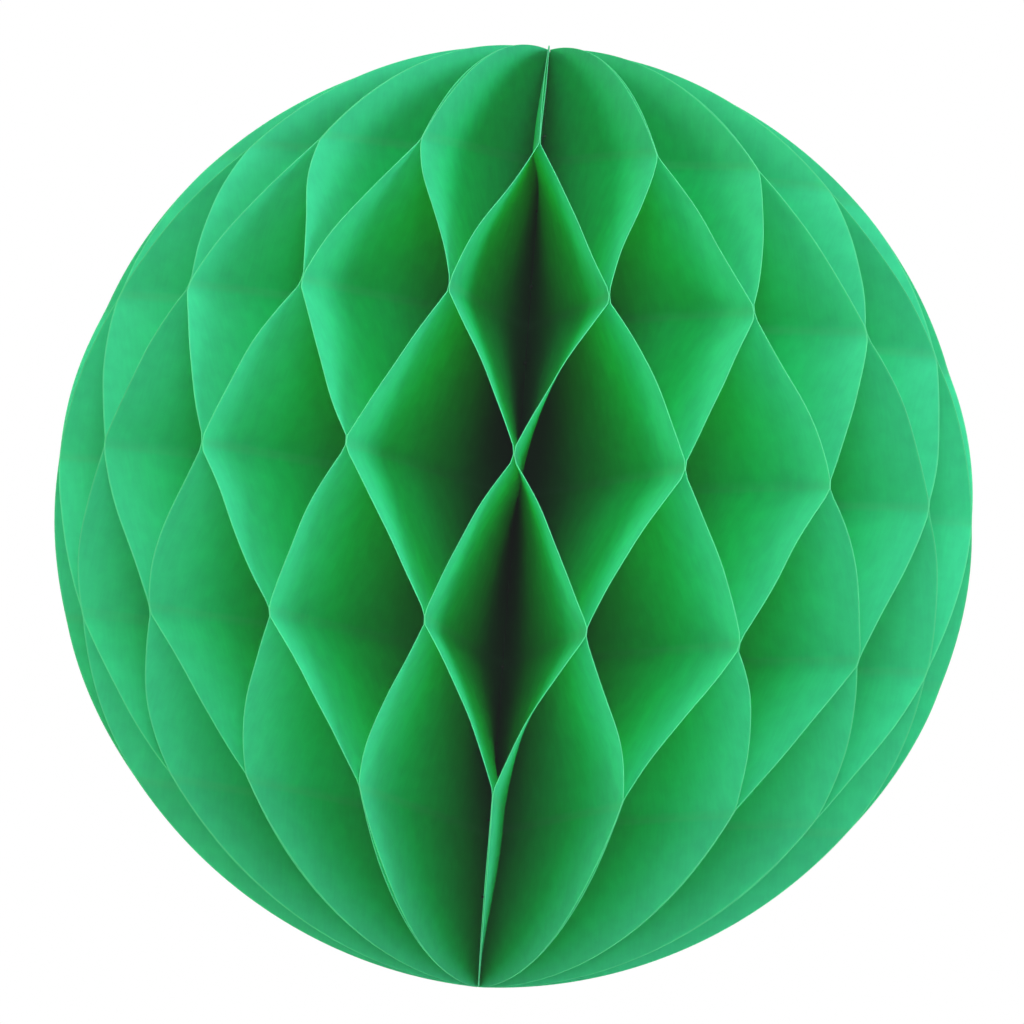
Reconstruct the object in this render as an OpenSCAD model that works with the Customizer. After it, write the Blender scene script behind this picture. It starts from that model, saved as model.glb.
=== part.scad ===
// Paper honeycomb ball: a pad of tissue leaves glued together along staggered lines, sewn along
// its spine between two half-round covers, and fanned through a full turn until the covers meet.
// The axis of the spine is Z. The covers meet behind, in the half plane x = 0, y > 0.
// An azimuth of 0 faces the front, -Y, and grows anticlockwise seen from above.

/* [Ball] */
// Radius of the opened ball at its waist
ball_r = 75; // [60:1:90]
// Distance from the sewn spine edge to the axis when the ball is open
spine_margin = 2.2; // [1.5:0.1:3]
// Number of tissue leaves in the pad
leaf_count = 36; // [30:1:44]

/* [Glue lines] */
// Height between two glue lines on the opened ball
row_pitch = 25.5; // [22:0.5:27]
// Height of the middle glue line above the ball's centre
row_offset = 3.1; // [-4:0.1:4]
// Glue lines above and below the middle one
rows_each_way = 2; // [1:1:2]
// Clearance left for the glue between two leaves
glue_gap = 0.04; // [0.02:0.01:0.06]

/* [Tissue] */
// Thickness that stands in for the tissue of a leaf
leaf_t = 0.2; // [0.12:0.02:0.24]
// Radius at which the leaves begin, round the thread
leaf_start = 3.3; // [3.2:0.1:4]

/* [Covers] */
// Thickness of the stiffening card
card_t = 0.35; // [0.25:0.05:0.4]
// Radius at which the card begins
card_start = 12; // [11:0.5:16]
// How far the card is cut back inside the leaf edges
card_inset = 0.8; // [0.5:0.1:2]
// Thickness of the cover paper
paper_t = 0.1; // [0.08:0.01:0.12]
// Radius at which the cover paper begins
paper_start = 3.5; // [3.3:0.1:4.5]

/* [Adhesive tape] */
// Thickness of the double-sided tape between the covers
tape_t = 0.1; // [0.08:0.01:0.15]
// Width of each tape strip
tape_w = 9; // [6:1:12]
// Length of each tape strip
tape_l = 36; // [20:1:40]
// Radius at which each tape strip begins
tape_start = 42; // [30:1:42]
// Height of the middle of each tape strip from the ball's centre
tape_height = 26; // [22:1:30]

/* [Spine thread] */
// Diameter of the sewing thread
thread_d = 0.5; // [0.4:0.1:0.6]
// Height between two stitches
stitch_pitch = 12.5; // [8:0.5:15]
// Radius of the loop that each stitch makes round the axis
stitch_r = 2; // [1.5:0.1:2.4]
// Diameter of the knot at each end of the thread
knot_d = 2.2; // [1.8:0.1:2.6]

/* [Hidden] */
function two_digits(k) = str(k < 10 ? "0" : "", k);
function leaf_name(k) = str("leaf_", two_digits(k));

tissue_green = "mediumseagreen";
paper_green = "seagreen";
card_grey = "lightgray";
tape_clear = "whitesmoke";
thread_white = "honeydew";

// Every leaf keeps to its own wedge of the circle, so half a wedge is as far as it sways
share = 360 / leaf_count;
clear = (leaf_t + glue_gap) / 2;
outline_r = ball_r + spine_margin;
pole_tip = 1;
pole_angle = acos((leaf_start + pole_tip + spine_margin) / outline_r);

// Radius of a leaf's free edge at a height on the opened ball
function edge_rho(z) = sqrt(outline_r * outline_r - z * z) - spine_margin;

// Heights at which a leaf is cut into strips: quarters of a row between the outermost glue
// lines, and even turns of the outline beyond them
strips_per_row = 4;
pole_strips = 5;
row_top = row_offset + rows_each_way * row_pitch;
row_bottom = row_offset - rows_each_way * row_pitch;
function arc_z(from, to, i) = outline_r * sin(from + (to - from) * i / pole_strips);
heights = concat(
  [for (i = [0:pole_strips - 1]) arc_z(-pole_angle, asin(row_bottom / outline_r), i)],
  [for (i = [0:2 * rows_each_way * strips_per_row]) row_bottom + i * row_pitch / strips_per_row],
  [for (i = [1:pole_strips]) arc_z(asin(row_top / outline_r), pole_angle, i)]
);

// The sway is 1 where a leaf is glued to the next leaf and -1 where it is glued to the last one.
// It swings evenly from glue line to glue line, and stays glued beyond the outermost line.
function swing(x) = 1 - 2 * abs(x - 2 * round(x / 2));
function sway(k, z) = swing((min(max(z, row_bottom), row_top) - row_offset) / row_pitch + k);

// Room that the covers take from the wedges of the first and last leaves
function cover_room(u) = tape_t / 2 + paper_t + (u > 0 ? card_t : 0);
function room_before(k, u) = k == 1 ? cover_room(u) : 0;
function room_after(k, u) = k == leaf_count ? cover_room(u) : 0;

// Azimuth of a leaf's middle surface, u being the share of the way from the spine to the edge
function turn(k, u, rho, z) =
  let (low = asin((clear + room_before(k, u)) / rho))
  let (high = share - asin((clear + room_after(k, u)) / rho))
  (k - 1) * share - 180 + low + (high - low) * (sway(k, z) + 1) / 2;

function leaf_point(k, u, z, side) =
  let (rho = leaf_start + u * (edge_rho(z) - leaf_start))
  let (a = turn(k, u, rho, z))
  let (normal = (k - 0.5) * share - 180)
  [
    rho * sin(a) + side * leaf_t / 2 * cos(normal),
    -rho * cos(a) + side * leaf_t / 2 * sin(normal),
    z
  ];

// Shares of the way out at which a leaf bends: its spine edge, clear of the card, and its free edge
bends = [0, 0.1, 1];

module leaf(k) {
  columns = len(bends);
  rows = len(heights);
  skin = columns * rows;
  points = [for (side = [-1, 1]) for (z = heights) for (u = bends) leaf_point(k, u, z, side)];
  function at(side, row, column) = side * skin + row * columns + column;
  cells = [for (r = [0:rows - 2]) for (c = [0:columns - 2]) [r, c]];
  function halves(a, b, c, d) = [[a, b, c], [a, c, d]];
  front = [for (s = cells) each halves(
    at(0, s[0], s[1]), at(0, s[0] + 1, s[1]), at(0, s[0] + 1, s[1] + 1), at(0, s[0], s[1] + 1))];
  back = [for (s = cells) each halves(
    at(1, s[0], s[1]), at(1, s[0], s[1] + 1), at(1, s[0] + 1, s[1] + 1), at(1, s[0] + 1, s[1]))];
  spine_and_edge = [for (r = [0:rows - 2]) for (c = [0, columns - 1]) each halves(
    at(c == 0 ? 0 : 1, r, c), at(c == 0 ? 1 : 0, r, c),
    at(c == 0 ? 1 : 0, r + 1, c), at(c == 0 ? 0 : 1, r + 1, c))];
  tips = [for (c = [0:columns - 2]) for (r = [0, rows - 1]) each halves(
    at(r == 0 ? 1 : 0, r, c), at(r == 0 ? 0 : 1, r, c),
    at(r == 0 ? 0 : 1, r, c + 1), at(r == 0 ? 1 : 0, r, c + 1))];
  color(tissue_green) polyhedron(points, concat(front, back, spine_and_edge, tips));
}

// A flat half disc in the plane of the covers, from a radius to inside the leaf edges
module half_disc(start, inset, thickness) {
  rotate([90, 0, 90])
    linear_extrude(thickness)
      intersection() {
        translate([-spine_margin, 0]) circle(r = outline_r - inset, $fn = 128);
        translate([start, -ball_r]) square([ball_r, 2 * ball_r]);
      }
}

// The b cover is the a cover turned over, on the other side of the tape
module on_side(which) {
  mirror([which == "a" ? 1 : 0, 0, 0]) children();
}

module cover_paper(which) {
  color(paper_green)
    on_side(which) translate([tape_t / 2, 0, 0]) half_disc(paper_start, card_inset, paper_t);
}

module cover_card(which) {
  color(card_grey)
    on_side(which) translate([tape_t / 2 + paper_t, 0, 0]) half_disc(card_start, card_inset, card_t);
}

module tape_strip(height) {
  color(tape_clear)
    translate([-tape_t / 2, tape_start, height - tape_l / 2]) cube([tape_t, tape_w, tape_l]);
}

knot_z = outline_r - knot_d;
stitches = floor((knot_z - stitch_pitch / 2) / stitch_pitch);

module spine_thread() {
  color(thread_white) {
    cylinder(d = thread_d, h = 2 * knot_z, center = true, $fn = 16);
    for (i = [-stitches:stitches]) translate([0, 0, i * stitch_pitch]) stitch();
  }
}

// One stitch: a loop round the axis and the crossing that ties it to the thread
module stitch() {
  rotate_extrude($fn = 32) translate([stitch_r, 0]) circle(d = thread_d, $fn = 16);
  rotate([0, 90, 0]) cylinder(d = thread_d, h = 2 * stitch_r, center = true, $fn = 16);
}

module knot(z) {
  color(thread_white)
    translate([0, 0, z])
      difference() {
        sphere(d = knot_d, $fn = 32);
        cylinder(d = thread_d, h = 2 * knot_d, center = true, $fn = 16);
      }
}

for (k = [1:leaf_count]) leaf(k);
cover_card("a");  // cover_card_a
cover_card("b");  // cover_card_b
cover_paper("a");  // cover_paper_a
cover_paper("b");  // cover_paper_b
tape_strip(tape_height);  // tape_strip_upper
tape_strip(-tape_height);  // tape_strip_lower
spine_thread();
knot(knot_z);  // top_knot
knot(-knot_z);  // bottom_knot
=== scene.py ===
import math
import random

import bmesh
import bpy
from mathutils import Matrix, Quaternion, Vector


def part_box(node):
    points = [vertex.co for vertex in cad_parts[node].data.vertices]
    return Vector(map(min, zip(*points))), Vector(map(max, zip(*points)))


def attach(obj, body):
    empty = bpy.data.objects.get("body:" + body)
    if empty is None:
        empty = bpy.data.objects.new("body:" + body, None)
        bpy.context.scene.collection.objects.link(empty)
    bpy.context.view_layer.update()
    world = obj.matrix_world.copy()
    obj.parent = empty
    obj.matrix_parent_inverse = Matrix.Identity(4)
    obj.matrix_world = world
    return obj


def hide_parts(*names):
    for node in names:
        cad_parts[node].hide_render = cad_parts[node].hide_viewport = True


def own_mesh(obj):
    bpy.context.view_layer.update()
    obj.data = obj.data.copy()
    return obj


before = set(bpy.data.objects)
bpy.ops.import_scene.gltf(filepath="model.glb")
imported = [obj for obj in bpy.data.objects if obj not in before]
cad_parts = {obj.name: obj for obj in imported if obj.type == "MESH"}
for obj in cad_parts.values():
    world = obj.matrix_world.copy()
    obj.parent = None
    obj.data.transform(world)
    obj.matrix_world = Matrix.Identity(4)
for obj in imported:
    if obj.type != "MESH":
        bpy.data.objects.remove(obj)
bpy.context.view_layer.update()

# ---------------------------------------------------------------------------------------------
# Leaves. Each is one D-shaped sheet of dyed tissue, pasted to the leaf before it and the leaf
# after it along staggered lines. Fanned through a full turn, the paste lines pull the sheets
# into a honeycomb of twisted walls. Past the outermost lines each pasted pair stays together.

MM = 0.001
LEAVES = 36

# Each leaf has an equal share of the full turn, in degrees. Bond 0 pastes the first leaf to one
# cover, and the last bond pastes the last leaf to the other cover.
SHARE = 360 / LEAVES
BONDS_AROUND = LEAVES + 1

# The opened outline, from the frame: a circle whose centre lies the sewn margin off the axis.
WAIST = -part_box("leaf_18")[0].y
SEWN_MARGIN = 2.2 * MM
OUTLINE_R = WAIST + SEWN_MARGIN

# A leaf starts just outside the sewing thread, and narrows to a small blunt tip at each pole.
LEAF_START = 0.8 * MM
TIP = 0.7 * MM
POLE_TURN = math.acos((LEAF_START + TIP + SEWN_MARGIN) / OUTLINE_R)

# Paste lines: five rows, by their heights at the free edge. The sewn spine can't shorten, so
# towards it the rows spread back to the pitch at which the flat sheets were pasted. Only close
# to the poles does the spread die away.
ROW_PITCH = 25.5 * MM
ROW_OFFSET = 3.1 * MM
ROWS = range(-2, 3)
ROW_SPREAD = 0.09
SPREAD_FADE = 6
PASTE_HALF_HEIGHT = 0.9 * MM

# Real tissue is about 0.03 mm thick. It is drawn at 0.09 mm, so that its cut edge shows.
TISSUE = 0.09 * MM
PASTE = 0.015 * MM
SIDE_ROOM = (TISSUE + PASTE) / 2

# The outermost leaves also leave room for the cover paper and its card. Near the axis the room
# is capped at a share of the radius.
COVER_ROOM = 0.15 * MM
CARD_ROOM = 0.35 * MM
CARD_REACH = 11 * MM
COVER_REACH = 3.4 * MM
MOST_ROOM = 0.08

# A ball opened by hand isn't even. Paste lines lie a little off their places, pasted pairs belly
# to one side between spine and edge, and walls sag, snake and ripple between their paste lines.
# TURN_ERROR and SLIT are in degrees. SAG, BOW and SNAKE are shares of the way between two lines.
TURN_ERROR = 0.4
HEIGHT_ERROR = 0.35 * MM
BELLY = 1.2 * MM
BELLY_WIDTH = 55 * MM
SAG = 0.06
BOW = 0.05
SNAKE = 0.04
RIPPLE = 0.16 * MM
RIPPLE_SHORT = 3.1 * MM
RIPPLE_LONG = 7.3 * MM
SLIT = 0.3
SPINE_REACH = 20 * MM

# The pasted pairs at the front lean clearly to one side at the poles, so theirs is given.
FRONT = LEAVES // 2
FRONT_LEAN_TOP = -1.1 * MM
FRONT_LEAN_BOTTOM = 1.9 * MM

luck = random.Random(36)
turn_error, lift, belly = (
    {(bond, row): luck.uniform(-most, most) for bond in range(BONDS_AROUND) for row in ROWS}
    for most in (TURN_ERROR, HEIGHT_ERROR, BELLY)
)
slit_width = {
    (bond, row): luck.uniform(0.2, 1) * SLIT for bond in range(BONDS_AROUND) for row in ROWS
}
ripple_phase = [luck.uniform(0, math.tau) for _ in range(LEAVES + 1)]
belly[FRONT, ROWS[-1]] = FRONT_LEAN_TOP
belly[FRONT, ROWS[0]] = FRONT_LEAN_BOTTOM


def edge_rho(height):
    """Radius of the free edge of a leaf at a height on the opened ball."""
    return math.sqrt(max(OUTLINE_R ** 2 - height ** 2, 0)) - SEWN_MARGIN


def smooth(t):
    """Eases from 0 to 1 as t does."""
    t = min(max(t, 0), 1)
    return t * t * (3 - 2 * t)


def paste_lines_of(leaf):
    """A leaf's paste lines from the bottom up: height, side (0 last leaf, 1 next leaf), the error
    of turn, the belly, and how far the pair gapes past it."""
    lines = []
    for row in ROWS:
        side = 1 if (row + leaf) % 2 == 0 else 0
        place = (leaf - 1 + side, row)
        loose = 0 if place[0] in (0, LEAVES) else 1
        lines.append((
            ROW_OFFSET + row * ROW_PITCH + lift[place] * loose,
            side,
            turn_error[place] * loose,
            belly[place] * loose,
            slit_width[place] * loose))
    return lines


def wall_at(lines, height, bends):
    """Where a leaf is at a height: its share of the way across its wedge, its error of turn in
    degrees, its belly, and how freely it ripples, 0 where it is pasted."""
    lowest, highest = lines[0], lines[-1]
    if height <= lowest[0] or height >= highest[0]:
        end_height, side, turn, belly_here, slit = lowest if height <= lowest[0] else highest
        way = (abs(height) - abs(end_height)) / (OUTLINE_R - abs(end_height))
        gape = slit / SHARE * math.sin(math.pi * min(way, 1)) ** 2
        fade = 1 - smooth(way)
        return abs(side - gape), turn * fade, belly_here * fade, 0
    index = max(i for i, line in enumerate(lines[:-1]) if line[0] <= height)
    first, second = lines[index:index + 2]
    run = second[0] - first[0] - 2 * PASTE_HALF_HEIGHT
    t = min(max((height - first[0] - PASTE_HALF_HEIGHT) / run, 0), 1)
    bow, snake = bends[index]
    along = t + bow * math.sin(math.pi * t) + snake * math.sin(2 * math.pi * t)
    across, turn, belly_here = (a + (b - a) * along for a, b in zip(first[1:4], second[1:4]))
    return min(max(across, 0), 1), turn, belly_here, math.sin(math.pi * t) ** 2


def leaf_place(leaf, lines, out, turn_up, bends):
    """A point of a leaf's middle surface and its place on the flat sheet, in millimetres, with
    its distances from the nearest paste line and from the cut edge."""
    edge_height = OUTLINE_R * math.sin(turn_up)
    edge = edge_rho(edge_height)
    rho = LEAF_START + (edge - LEAF_START) * out
    spread = ROW_SPREAD * (1 - (edge_height / OUTLINE_R) ** SPREAD_FADE) * (1 - out)
    height = edge_height * (1 + spread)
    across, turned, bellied, freedom = wall_at(lines, edge_height, bends)
    cover_room = COVER_ROOM * smooth(rho / COVER_REACH) + CARD_ROOM * smooth(rho / CARD_REACH)
    room_low = SIDE_ROOM + (cover_room if leaf == 1 else 0)
    room_high = SIDE_ROOM + (cover_room if leaf == LEAVES else 0)
    start = math.asin(min(room_low / rho, MOST_ROOM))
    stop = math.radians(SHARE) - math.asin(min(room_high / rho, MOST_ROOM))
    reach = smooth(rho / SPINE_REACH)
    turn = math.radians((leaf - 1) * SHARE - 180 + turned * reach) + start + (stop - start) * across
    turn += bellied * math.sin(math.pi * out) * smooth((edge - LEAF_START) / BELLY_WIDTH) / rho
    wave = math.sin(edge_height / RIPPLE_SHORT + ripple_phase[leaf])
    wave *= math.sin(edge_height / RIPPLE_LONG + leaf)
    turn += RIPPLE * wave * freedom * out ** 2 / rho
    nearest = min(abs(edge_height - line[0]) for line in lines)
    return (
        Vector((rho * math.sin(turn), -rho * math.cos(turn), height)),
        (rho / MM, edge_height / MM),
        nearest / MM,
        (edge - rho) / MM,
    )


STRIPS_UP = 168
STRIPS_ACROSS = 14

# In radians. The cut edges stay sharp, so that the shading of the faces doesn't bend round them.
CUT_EDGE_ANGLE = 1


def leaf_mesh(leaf):
    """One leaf as a closed sheet, from a grid whose long side runs up the ball."""
    bm = bmesh.new()
    bmesh.ops.create_grid(bm, x_segments=STRIPS_ACROSS, y_segments=STRIPS_UP, size=0.5)
    sheet = bm.loops.layers.uv.new("flat_sheet")
    paste = bm.verts.layers.float.new("paste_distance")
    cut = bm.verts.layers.float.new("edge_distance")
    hand = random.Random(leaf * 7)
    bends = [(hand.uniform(-1, 1) * BOW - SAG, hand.uniform(-1, 1) * SNAKE) for _ in ROWS]
    lines = paste_lines_of(leaf)
    flat = {}
    for vert in bm.verts:
        out, up = vert.co.x + 0.5, vert.co.y + 0.5
        turn_up = (up * 2 - 1) * POLE_TURN
        vert.co, flat[vert], vert[paste], vert[cut] = leaf_place(leaf, lines, out, turn_up, bends)
    for face in bm.faces:
        face.smooth = True
        for loop in face.loops:
            loop[sheet].uv = flat[loop.vert]
    bm.normal_update()
    for vert in bm.verts:
        vert.co -= vert.normal * TISSUE / 2
    bmesh.ops.solidify(bm, geom=bm.faces[:], thickness=-TISSUE)
    bmesh.ops.recalc_face_normals(bm, faces=bm.faces[:])
    for edge in bm.edges:
        edge.smooth = edge.calc_face_angle(0) < CUT_EDGE_ANGLE
    return bm


def piece_from(bm, name, material):
    """A finished bmesh as an object at the origin."""
    mesh = bpy.data.meshes.new(name)
    bm.to_mesh(mesh)
    bm.free()
    mesh.materials.append(material)
    piece = bpy.data.objects.new(name, mesh)
    bpy.context.scene.collection.objects.link(piece)
    return piece


def linear(code):
    """An sRGB hex colour as the linear colour that shaders take."""
    channels = [int(code[i:i + 2], 16) / 255 for i in (1, 3, 5)]
    return (*[c / 12.92 if c <= 0.04045 else ((c + 0.055) / 1.055) ** 2.4 for c in channels], 1)


def add_node(tree, kind, sockets=None, **settings):
    """Adds a node. A socket takes a constant or another node's output."""
    node = tree.nodes.new("ShaderNode" + kind)
    for name, value in settings.items():
        setattr(node, name, value)
    for name, value in (sockets or {}).items():
        if isinstance(value, bpy.types.NodeSocket):
            tree.links.new(value, node.inputs[name])
        else:
            node.inputs[name].default_value = value
    return node


def new_material(name):
    """An empty node material and its tree."""
    material = bpy.data.materials.new(name)
    material.use_nodes = True
    material.node_tree.nodes.clear()
    return material, material.node_tree


# Dyed tissue: matt and fibrous, so light spreads on it and glows through it. Its colour is
# painted paler towards the free edge, as a painted highlight on the brightly lit outer walls, is
# full in the middle, and is painted darker towards the spine, as painted shade in the innermost
# cells. The cut edge is pale where the fibres stand loose, and also carries a painted highlight
# along the rim. The dried paste leaves a thin cloudy line.
THROUGH_SHARE = 0.55

# Sizes on the flat sheet, in millimetres. Real fibres are about 0.03 mm wide and up to 3 mm long,
# and are drawn coarser, so that they show.
FORMATION = 3.0
FIBRE_WIDTH = 0.5
FIBRE_LENGTH = 4.0
# How far in from the free edge the painted highlight fades out.
HIGHLIGHT_FADE = 21.0
# The painted shade towards the spine starts at twice that distance and is full at 3.3 times it.
SHADE_FROM = HIGHLIGHT_FADE * 2
FULL_SHADE_FROM = HIGHLIGHT_FADE * 3.3


def tissue_material():
    """Dyed tissue, laid out on each leaf's own flat sheet."""
    material, tree = new_material("dyed_tissue")
    sheet = add_node(tree, "UVMap", uv_map="flat_sheet").outputs["UV"]
    cloud_at = add_node(tree, "Mapping", {"Vector": sheet, "Scale": (1 / FORMATION,) * 3})
    clouds = add_node(tree, "TexNoise", {"Vector": cloud_at.outputs[0], "Scale": 1.0, "Detail": 4.0})
    fibre_at = add_node(
        tree, "Mapping", {"Vector": sheet, "Scale": (1 / FIBRE_WIDTH, 1 / FIBRE_LENGTH, 1.0)})
    fibres = add_node(tree, "TexNoise", {"Vector": fibre_at.outputs[0], "Scale": 1.0, "Detail": 2.0})
    mottle = add_node(
        tree, "Mix", {"Factor": 0.3, "A": clouds.outputs["Fac"], "B": fibres.outputs["Fac"]})
    shade = add_node(
        tree, "MapRange",
        {"Value": mottle.outputs["Result"], "From Min": 0.3, "From Max": 0.7,
         "To Min": 0.92, "To Max": 1.04})
    near_edge = add_node(tree, "Attribute", attribute_name="edge_distance").outputs["Fac"]
    # Painted highlight: the colour is paler towards the free edge, where the outer walls are brightly
    # lit.
    highlight_falloff = add_node(
        tree, "MapRange", {"Value": near_edge, "From Min": 0.0, "From Max": HIGHLIGHT_FADE},
        interpolation_type="SMOOTHSTEP")
    dye_with_highlight = add_node(
        tree, "Mix",
        {"Factor": highlight_falloff.outputs["Result"], "A": linear("#4ee8b2"), "B": linear("#02e682")},
        data_type="RGBA")
    # Painted shade: the colour is darker towards the spine, where the innermost cells lie in shade.
    shade_ramp = add_node(
        tree, "MapRange", {"Value": near_edge, "From Min": SHADE_FROM, "From Max": FULL_SHADE_FROM},
        interpolation_type="SMOOTHSTEP")
    highlight_and_shade = add_node(
        tree, "Mix",
        {"Factor": shade_ramp.outputs["Result"], "A": dye_with_highlight.outputs["Result"], "B": linear("#10b466")},
        data_type="RGBA")
    coloured = add_node(
        tree, "Mix", {"Factor": 1.0, "A": highlight_and_shade.outputs["Result"], "B": shade.outputs["Result"]},
        data_type="RGBA", blend_type="MULTIPLY")
    near_paste = add_node(tree, "Attribute", attribute_name="paste_distance").outputs["Fac"]
    paste_line = add_node(
        tree, "MapRange",
        {"Value": near_paste, "From Min": 0.4, "From Max": 1.0, "To Min": 0.25, "To Max": 0.0})
    pasted = add_node(
        tree, "Mix",
        {"Factor": paste_line.outputs["Result"], "A": coloured.outputs["Result"], "B": linear("#66e2a4")},
        data_type="RGBA")
    # The cut edge is paler where the fibres stand loose, with a painted highlight along the rim.
    edge_line = add_node(
        tree, "MapRange",
        {"Value": near_edge, "From Min": 0.05, "From Max": 0.3, "To Min": 0.5, "To Max": 0.0})
    paper = add_node(
        tree, "Mix",
        {"Factor": edge_line.outputs["Result"], "A": pasted.outputs["Result"], "B": linear("#8ff0bf")},
        data_type="RGBA")
    bump = add_node(
        tree, "Bump", {"Height": mottle.outputs["Result"], "Strength": 0.2, "Distance": 0.05 * MM})
    face = add_node(
        tree, "BsdfPrincipled",
        {"Base Color": paper.outputs["Result"], "Roughness": 0.9, "Specular IOR Level": 0.1,
         "Normal": bump.outputs["Normal"]})
    through = add_node(
        tree, "BsdfTranslucent", {"Color": paper.outputs["Result"], "Normal": bump.outputs["Normal"]})
    both = add_node(tree, "MixShader", {"Fac": THROUGH_SHARE})
    tree.links.new(face.outputs[0], both.inputs[1])
    tree.links.new(through.outputs[0], both.inputs[2])
    add_node(tree, "OutputMaterial", {"Surface": both.outputs[0]})
    return material


tissue = tissue_material()
for leaf in range(1, LEAVES + 1):
    node = f"leaf_{leaf:02d}"
    piece = piece_from(leaf_mesh(leaf), f"tissue_{node}", tissue)
    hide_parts(node)
    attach(piece, node)
    middle = math.radians((leaf - 0.5) * SHARE - 180)
    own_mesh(piece)

# ---------------------------------------------------------------------------------------------
# Covers. A half disc of grey recycled board stiffens each outermost leaf, and a green cover paper
# is pasted over its back. The two covers lie back to back when the ball is open.


def greyboard_material():
    """Recycled pulp board: dull and flecked, with short dark and pale fibres pressed flat."""
    material, tree = new_material("recycled_greyboard")
    place = add_node(tree, "TexCoord").outputs["Object"]
    pulp = add_node(tree, "TexNoise", {"Vector": place, "Scale": 1 / (0.9 * MM), "Detail": 5.0})
    fleck_at = add_node(tree, "Mapping", {"Vector": place, "Scale": (1.0, 0.35, 1.0)})
    flecks = add_node(tree, "TexVoronoi", {"Vector": fleck_at.outputs[0], "Scale": 1 / (1.6 * MM)})
    dark = add_node(
        tree, "MapRange",
        {"Value": flecks.outputs["Distance"], "From Min": 0.08, "From Max": 0.16,
         "To Min": 0.6, "To Max": 0.0})
    board = add_node(
        tree, "Mix", {"Factor": pulp.outputs["Fac"], "A": linear("#8f897c"), "B": linear("#bdb7aa")},
        data_type="RGBA")
    flecked = add_node(
        tree, "Mix",
        {"Factor": dark.outputs["Result"], "A": board.outputs["Result"], "B": linear("#5b574f")},
        data_type="RGBA")
    bump = add_node(
        tree, "Bump", {"Height": pulp.outputs["Fac"], "Strength": 0.35, "Distance": 0.05 * MM})
    face = add_node(
        tree, "BsdfPrincipled",
        {"Base Color": flecked.outputs["Result"], "Roughness": 0.9, "Specular IOR Level": 0.25,
         "Normal": bump.outputs["Normal"]})
    add_node(tree, "OutputMaterial", {"Surface": face.outputs[0]})
    return material


def cover_paper_material():
    """Sized cover paper, dyed in the pulp: denser and a little smoother than the tissue."""
    material, tree = new_material("green_cover_paper")
    place = add_node(tree, "TexCoord").outputs["Object"]
    felt = add_node(tree, "TexNoise", {"Vector": place, "Scale": 1 / (0.6 * MM), "Detail": 4.0})
    cloud = add_node(tree, "TexNoise", {"Vector": place, "Scale": 1 / (7 * MM), "Detail": 2.0})
    mottle = add_node(
        tree, "Mix", {"Factor": 0.6, "A": felt.outputs["Fac"], "B": cloud.outputs["Fac"]})
    coloured = add_node(
        tree, "Mix",
        {"Factor": mottle.outputs["Result"], "A": linear("#1da864"), "B": linear("#2fc67e")},
        data_type="RGBA")
    bump = add_node(
        tree, "Bump", {"Height": felt.outputs["Fac"], "Strength": 0.3, "Distance": 0.04 * MM})
    face = add_node(
        tree, "BsdfPrincipled",
        {"Base Color": coloured.outputs["Result"], "Roughness": 0.6, "Specular IOR Level": 0.4,
         "Normal": bump.outputs["Normal"]})
    add_node(tree, "OutputMaterial", {"Surface": face.outputs[0]})
    return material


def finish_node(node, material):
    """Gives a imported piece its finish."""
    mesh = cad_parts[node].data
    if not mesh.materials:
        mesh.materials.append(material)
    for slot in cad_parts[node].material_slots:
        slot.material = material


greyboard = greyboard_material()
cover_paper = cover_paper_material()
for side in "ab":
    finish_node(f"cover_card_{side}", greyboard)
    finish_node(f"cover_paper_{side}", cover_paper)

# ---------------------------------------------------------------------------------------------
# Tape. Two strips of clear double-sided film, one above the other, are stuck between the
# backs of the covers and hold the ball open.


def tape_material():
    """Clear polypropylene tape: glossy film that yellows a little, with bubbles under it."""
    material, tree = new_material("clear_adhesive_tape")
    place = add_node(tree, "TexCoord").outputs["Object"]
    bubbles = add_node(tree, "TexVoronoi", {"Vector": place, "Scale": 1 / (1.2 * MM)})
    wet = add_node(
        tree, "MapRange",
        {"Value": bubbles.outputs["Distance"], "From Min": 0.15, "From Max": 0.3,
         "To Min": 0.45, "To Max": 0.18})
    bump = add_node(
        tree, "Bump", {"Height": wet.outputs["Result"], "Strength": 0.3, "Distance": 0.03 * MM})
    film = add_node(
        tree, "BsdfPrincipled",
        {"Base Color": linear("#f4efd9"), "Roughness": wet.outputs["Result"], "IOR": 1.49,
         "Transmission Weight": 0.6, "Normal": bump.outputs["Normal"]})
    add_node(tree, "OutputMaterial", {"Surface": film.outputs[0]})
    return material


tape = tape_material()
for end in ("upper", "lower"):
    finish_node(f"tape_strip_{end}", tape)

# ---------------------------------------------------------------------------------------------
# Sewing thread. Green cotton of two plies twisted together. It runs up the spine, and at each
# stitch it goes round through the leaves and across.

thread_low, thread_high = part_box("spine_thread")
THREAD = 0.5 * MM
PLY = 0.27 * MM
PLY_OFFSET = (THREAD - PLY) / 2
TWIST = 2.0 * MM
PLY_SIDES = 6
STEPS_PER_TWIST = 8
STITCH_PITCH = 12.5 * MM
STITCH_R = thread_high.x - THREAD / 2
STITCHES_EACH_WAY = 5
WELD = 0.001 * MM


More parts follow.
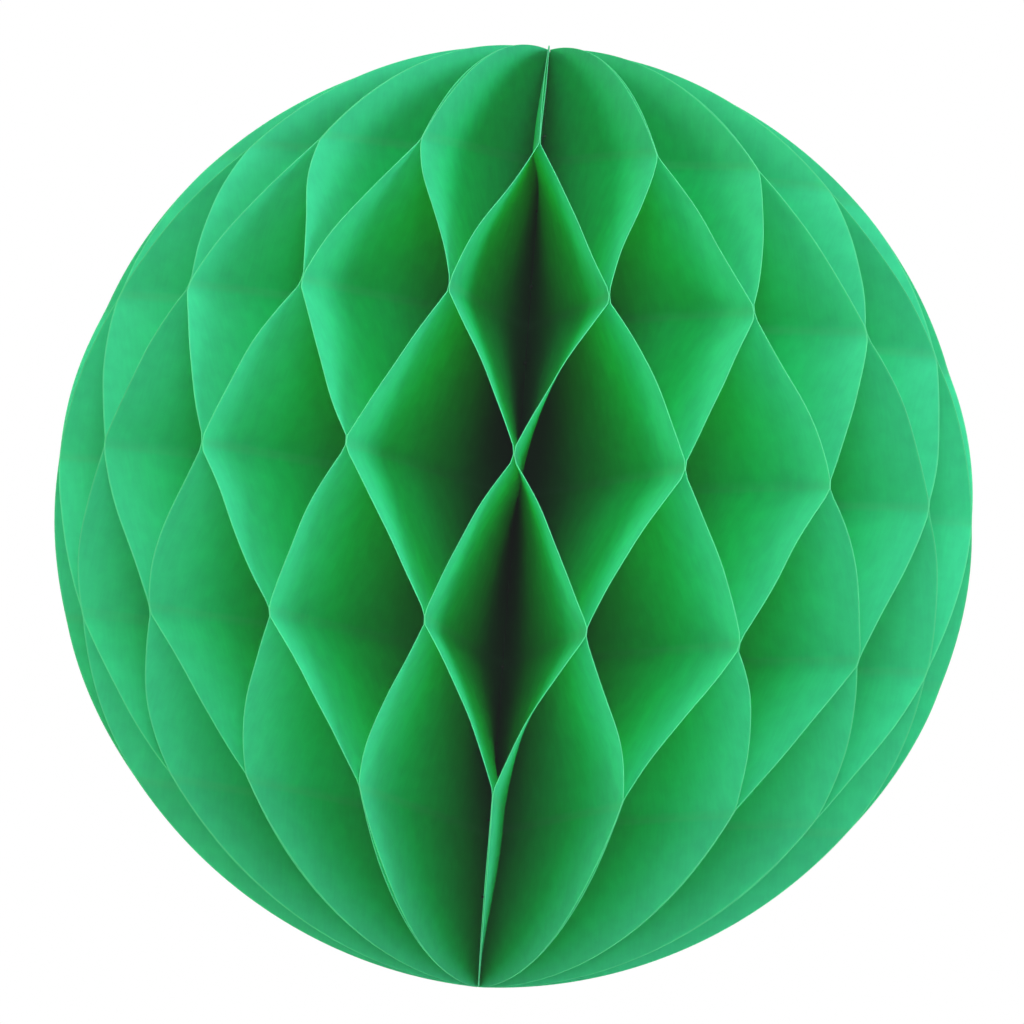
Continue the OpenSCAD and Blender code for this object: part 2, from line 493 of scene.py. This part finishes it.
def twisted_strand(length):
    """Two plies twisted round the Z axis, from the origin up, with closed ends."""
    bm = bmesh.new()
    turns = length / TWIST
    for side in (-1, 1):
        circle = bmesh.ops.create_circle(bm, cap_ends=True, segments=PLY_SIDES, radius=PLY / 2)
        ring = circle["verts"]
        bmesh.ops.translate(bm, verts=ring, vec=(side * PLY_OFFSET, 0, 0))
        start = list({face for vert in ring for face in vert.link_faces})
        steps = round(turns * STEPS_PER_TWIST)
        bmesh.ops.spin(
            bm, geom=start, cent=(0, 0, 0), axis=(0, 0, 1), dvec=(0, 0, length / steps),
            angle=turns * math.tau, steps=steps)
    bmesh.ops.remove_doubles(bm, verts=bm.verts[:], dist=WELD)
    bmesh.ops.recalc_face_normals(bm, faces=bm.faces[:])
    return bm


def add_to(bm, part):
    """Moves a finished part into a bmesh."""
    mesh = bpy.data.meshes.new("part")
    part.to_mesh(mesh)
    part.free()
    bm.from_mesh(mesh)
    bpy.data.meshes.remove(mesh)


def stitch(height):
    """One stitch: a strand bent into a loop through the leaves, and one laid across it."""
    loop = twisted_strand(math.tau * STITCH_R)
    for vert in loop.verts:
        turn, out = vert.co.z / STITCH_R, STITCH_R + vert.co.x
        vert.co = out * math.cos(turn), out * math.sin(turn), vert.co.y
    cross = twisted_strand(2 * STITCH_R)
    bmesh.ops.rotate(cross, verts=cross.verts[:], matrix=Matrix.Rotation(math.pi / 2, 3, "Y"))
    bmesh.ops.translate(cross, verts=cross.verts[:], vec=(-STITCH_R, 0, 0))
    add_to(loop, cross)
    bmesh.ops.translate(loop, verts=loop.verts[:], vec=(0, 0, height))
    return loop


def cotton_material():
    """Dyed mercerised cotton: fine fibres along the thread give it a soft silky shine. Real ones
    are about 0.015 mm wide, and are drawn coarser, so that they show."""
    material, tree = new_material("dyed_cotton_thread")
    place = add_node(tree, "TexCoord").outputs["Object"]
    fibre_at = add_node(tree, "Mapping", {"Vector": place, "Scale": (1.0, 1.0, 0.3)})
    fibres = add_node(
        tree, "TexNoise", {"Vector": fibre_at.outputs[0], "Scale": 1 / (0.08 * MM), "Detail": 2.0})
    coloured = add_node(
        tree, "Mix", {"Factor": fibres.outputs["Fac"], "A": linear("#0c3a20"), "B": linear("#17633a")},
        data_type="RGBA")
    bump = add_node(
        tree, "Bump", {"Height": fibres.outputs["Fac"], "Strength": 0.4, "Distance": 0.03 * MM})
    skin = add_node(
        tree, "BsdfPrincipled",
        {"Base Color": coloured.outputs["Result"], "Roughness": 0.6, "Sheen Weight": 0.2,
         "Normal": bump.outputs["Normal"]})
    add_node(tree, "OutputMaterial", {"Surface": skin.outputs[0]})
    return material


cotton = cotton_material()
bm = twisted_strand(thread_high.z - thread_low.z)
bmesh.ops.translate(bm, verts=bm.verts[:], vec=(0, 0, thread_low.z))
for index in range(-STITCHES_EACH_WAY, STITCHES_EACH_WAY + 1):
    add_to(bm, stitch(index * STITCH_PITCH))
thread = piece_from(bm, "sewing_thread", cotton)
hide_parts("spine_thread")
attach(thread, "cover_a")

# The knots. One at each end of the thread: four turns of the same cotton wound tight round the
# standing part, which stop it pulling out.
COILS = 4
COIL_R = 0.55 * MM
COIL_RISE = THREAD * 0.85
COIL_STEPS = 24
KNOT_SIDES = 8
for node in ("top_knot", "bottom_knot"):
    low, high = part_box(node)
    bm = bmesh.new()
    circle = bmesh.ops.create_circle(bm, cap_ends=True, segments=KNOT_SIDES, radius=THREAD / 2)
    start = circle["verts"]
    bmesh.ops.rotate(bm, verts=start, matrix=Matrix.Rotation(math.pi / 2, 3, "X"))
    bmesh.ops.translate(bm, verts=start, vec=(COIL_R, 0, 0))
    bmesh.ops.spin(
        bm, geom=bm.faces[:], cent=(0, 0, 0), axis=(0, 0, 1), angle=COILS * math.tau,
        dvec=(0, 0, COIL_RISE / COIL_STEPS), steps=COILS * COIL_STEPS)
    middle = COILS * COIL_RISE / 2
    bmesh.ops.translate(bm, verts=bm.verts[:], vec=(0, 0, (low.z + high.z) / 2 - middle))
    bmesh.ops.recalc_face_normals(bm, faces=bm.faces[:])
    knot = piece_from(bm, f"coiled_{node}", cotton)
    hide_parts(node)
    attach(knot, "cover_a")

# ---------------------------------------------------------------------------------------------
# Studio: a pale floor well below the hanging ball, a white room, and six soft boxes round the
# ball. The floor and the room look brighter than the light they give.

FLOOR_R = 5
FLOOR_DROP = 0.42
FLOOR_GLOW = 0.55
bm = bmesh.new()
bmesh.ops.create_circle(bm, cap_ends=True, segments=96, radius=FLOOR_R)
bmesh.ops.translate(bm, verts=bm.verts[:], vec=(0, 0, -FLOOR_DROP))
floor_paint, tree = new_material("pale_floor")
floor_seen = add_node(tree, "LightPath").outputs["Is Camera Ray"]
glow = add_node(tree, "MapRange", {"Value": floor_seen, "To Min": 0.0, "To Max": FLOOR_GLOW})
matt = add_node(
    tree, "BsdfPrincipled",
    {"Base Color": linear("#f2f2f0"), "Roughness": 0.8, "Emission Color": (1, 1, 1, 1),
     "Emission Strength": glow.outputs["Result"]})
add_node(tree, "OutputMaterial", {"Surface": matt.outputs[0]})
floor = piece_from(bm, "floor", floor_paint)

AMBIENT = 0.2
world = bpy.data.worlds.new("white_studio")
bpy.context.scene.world = world
world.use_nodes = True
world.node_tree.nodes.clear()
room_seen = add_node(world.node_tree, "LightPath").outputs["Is Camera Ray"]
level = add_node(world.node_tree, "MapRange", {"Value": room_seen, "To Min": AMBIENT, "To Max": 1.0})
room = add_node(
    world.node_tree, "Background", {"Color": (1, 1, 1, 1), "Strength": level.outputs["Result"]})
add_node(world.node_tree, "OutputWorld", {"Surface": room.outputs[0]})


def area_light(name, place, size, watts, tint):
    """A square soft box that faces the ball. Place and size are in metres."""
    lamp = bpy.data.lights.new(name, "AREA")
    lamp.size = size
    lamp.energy = watts
    lamp.color = linear(tint)[:3]
    holder = bpy.data.objects.new(name, lamp)
    holder.location = place
    holder.rotation_euler = Vector(place).to_track_quat("Z", "Y").to_euler()
    bpy.context.scene.collection.objects.link(holder)


area_light("front_box", (0.0, -1.75, 0.15), 0.5, 4.6, "#ffffff")
area_light("overhead_box", (0.0, -1.45, 1.0), 0.7, 14.6, "#f3f7ff")
area_light("left_box", (-1.26, -1.06, 0.6), 0.6, 9.6, "#faffc8")
area_light("right_box", (1.26, -1.06, 0.6), 0.6, 19, "#eff4ff")
area_light("back_box", (0.0, 1.6, 0.7), 0.9, 9, "#ffffff")
area_light("top_box", (0.0, -0.45, 1.7), 0.9, 10, "#ffecff")

# The film curve lifts black a little, so that the deepest cells are a soft dark grey.
FILM_BLACK = (-0.0105, -0.011, -0.0115)
film = bpy.context.scene.view_settings
film.view_transform = "Standard"
film.use_curve_mapping = True
film.curve_mapping.black_level = FILM_BLACK

# The camera looks slightly up at the hanging ball from 12 ball radii away. It is held with a
# small roll, so that the top of the spine leans to the right.
DISTANCE = 12 * WAIST
LENS = 193.3
BELOW = math.radians(4.9)
ROLL = math.radians(4.3)
SIDESTEP = math.radians(0.28)
AIM = Vector((-0.38 * MM, 0, 0.52 * MM))

camera = bpy.data.objects.new("camera", bpy.data.cameras.new("camera"))
camera.data.lens = LENS
camera.data.sensor_width = 36
camera.data.clip_end = 50
back = Vector((
    math.sin(SIDESTEP) * math.cos(BELOW),
    -math.cos(SIDESTEP) * math.cos(BELOW),
    -math.sin(BELOW)))
camera.location = AIM + back * DISTANCE
camera.rotation_mode = "QUATERNION"
look = back.to_track_quat("Z", "Y")
camera.rotation_quaternion = look @ Quaternion((0, 0, 1), ROLL)
bpy.context.scene.collection.objects.link(camera)
bpy.context.scene.camera = camera
